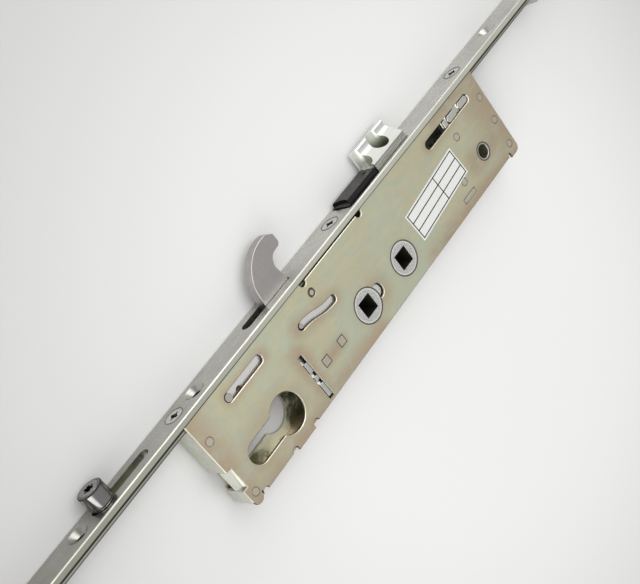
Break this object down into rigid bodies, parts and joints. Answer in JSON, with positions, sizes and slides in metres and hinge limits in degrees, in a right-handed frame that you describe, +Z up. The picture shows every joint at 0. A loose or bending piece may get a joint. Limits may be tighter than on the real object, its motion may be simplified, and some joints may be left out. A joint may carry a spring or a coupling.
{
  "type": "door lock",
  "caption": "Centre case of a multipoint door lock on its faceplate, with swinging hook, sprung latch and trigger, key-driven bar, handle followers and a sliding roller.",
  "frame": {"origin": "on the cylinder hole's axis, half way through the case", "axes": "+X along the faceplate to the lock's upper end, +Y the way the bolts throw, +Z up through the cover plate"},
  "size_m": [0.454, 0.07, 0.016],
  "materials": {
    "faceplate_zinc": "satin zinc plated",
    "case_zinc": "yellow passivated zinc",
    "screw_steel": "bright zinc plated",
    "cast_zinc": "light grey zinc casting",
    "pin_steel": "turned steel",
    "bracket_steel": "bright zinc plated",
    "label_paper": "printed paper, bare table",
    "rail_steel": "dull zinc plated",
    "spring_steel": "bright spring wire",
    "roller_steel": "polished",
    "hook_steel": "grey satin",
    "latch_nickel": "satin nickel plated",
    "trigger_black": "black moulded",
    "bar_steel": "dull steel"
  },
  "bodies": {
    "case_frame": {"faceplate": "faceplate_zinc", "case_tray": "case_zinc", "case_cover": "case_zinc", "case_screws": "screw_steel", "screw_blocks": "cast_zinc", "case_rivets": "pin_steel", "square_pillars": "pin_steel", "case_stake": "pin_steel", "screw_bush": "pin_steel", "guide_bracket": "bracket_steel", "label": "label_paper", "rail_guide_lower": "rail_steel", "rail_guide_upper": "rail_steel", "hook_pivot_pin": "pin_steel", "latch_guide": "cast_zinc", "latch_spring_seat": "cast_zinc", "trigger_spring_seat": "cast_zinc", "latch_spring": "spring_steel", "trigger_spring": "spring_steel"},
    "drive_slide_body": {"rail_lower": "rail_steel", "rail_upper": "rail_steel", "slide_plate_upper": "rail_steel", "slide_plate_lower": "rail_steel", "slide_guide_pin": "pin_steel", "slide_spacer": "pin_steel", "roller_stud": "roller_steel", "roller_washer": "roller_steel"},
    "roller_body": {"roller_sleeve": "roller_steel"},
    "hook_body": {"hook_bolt": "hook_steel"},
    "hook_pin_body": {"hook_drive_pin": "pin_steel"},
    "lower_follower_body": {"lower_follower": "cast_zinc"},
    "upper_follower_body": {"upper_follower": "cast_zinc"},
    "latch_body": {"latch_bolt": "latch_nickel"},
    "trigger_body": {"trigger": "trigger_black"},
    "lock_bar_body": {"lock_bar": "bar_steel"}
  },
  "joints": [
    {"name": "drive_slide", "type": "slide", "parent": "case_frame", "child": "drive_slide_body", "axis": [1, 0, 0], "range_m": [0, 0.02]},
    {"name": "hook_swing", "type": "hinge", "parent": "case_frame", "child": "hook_body", "pos_m": [0.0441, 0.025, 0], "axis": [0, 0, 1], "range_deg": [0, 99.63]},
    {"name": "hook_pin_slide", "type": "slide", "parent": "drive_slide_body", "child": "hook_pin_body", "axis": [0, -1, 0], "range_m": [0, 0.00421]},
    {"name": "lower_follower_turn", "type": "hinge", "parent": "case_frame", "child": "lower_follower_body", "pos_m": [0.062, 0, 0], "axis": [0, 0, 1], "range_deg": [-71.63, 0]},
    {"name": "latch_slide", "type": "slide", "parent": "case_frame", "child": "latch_body", "axis": [0, -1, 0], "range_m": [0, 0.0114], "stiffness_N_per_m": 300, "springref_m": -0.008, "deforming": ["latch_spring"]},
    {"name": "upper_follower_turn", "type": "hinge", "parent": "case_frame", "child": "upper_follower_body", "pos_m": [0.092, 0, 0], "axis": [0, 0, 1], "range_deg": [-33.13, 0]},
    {"name": "trigger_press", "type": "slide", "parent": "case_frame", "child": "trigger_body", "axis": [0, -1, 0], "range_m": [0, 0.002], "stiffness_N_per_m": 200, "springref_m": -0.006, "deforming": ["trigger_spring"]},
    {"name": "lock_bar_slide", "type": "slide", "parent": "case_frame", "child": "lock_bar_body", "axis": [0, 1, 0], "range_m": [0, 0.0035]},
    {"name": "roller_spin", "type": "hinge", "parent": "drive_slide_body", "child": "roller_body", "pos_m": [-0.076, 0.0395, 0], "axis": [0, 1, 0], "continuous": true}
  ],
  "couplings": [
    {"joint": "hook_swing", "follows": "drive_slide", "rad_per_m": 86.93},
    {"joint": "hook_pin_slide", "follows": "drive_slide", "ratio": 0.21},
    {"joint": "lower_follower_turn", "follows": "drive_slide", "rad_per_m": -62.5},
    {"joint": "upper_follower_turn", "follows": "latch_slide", "rad_per_m": -50.703}
  ]
}
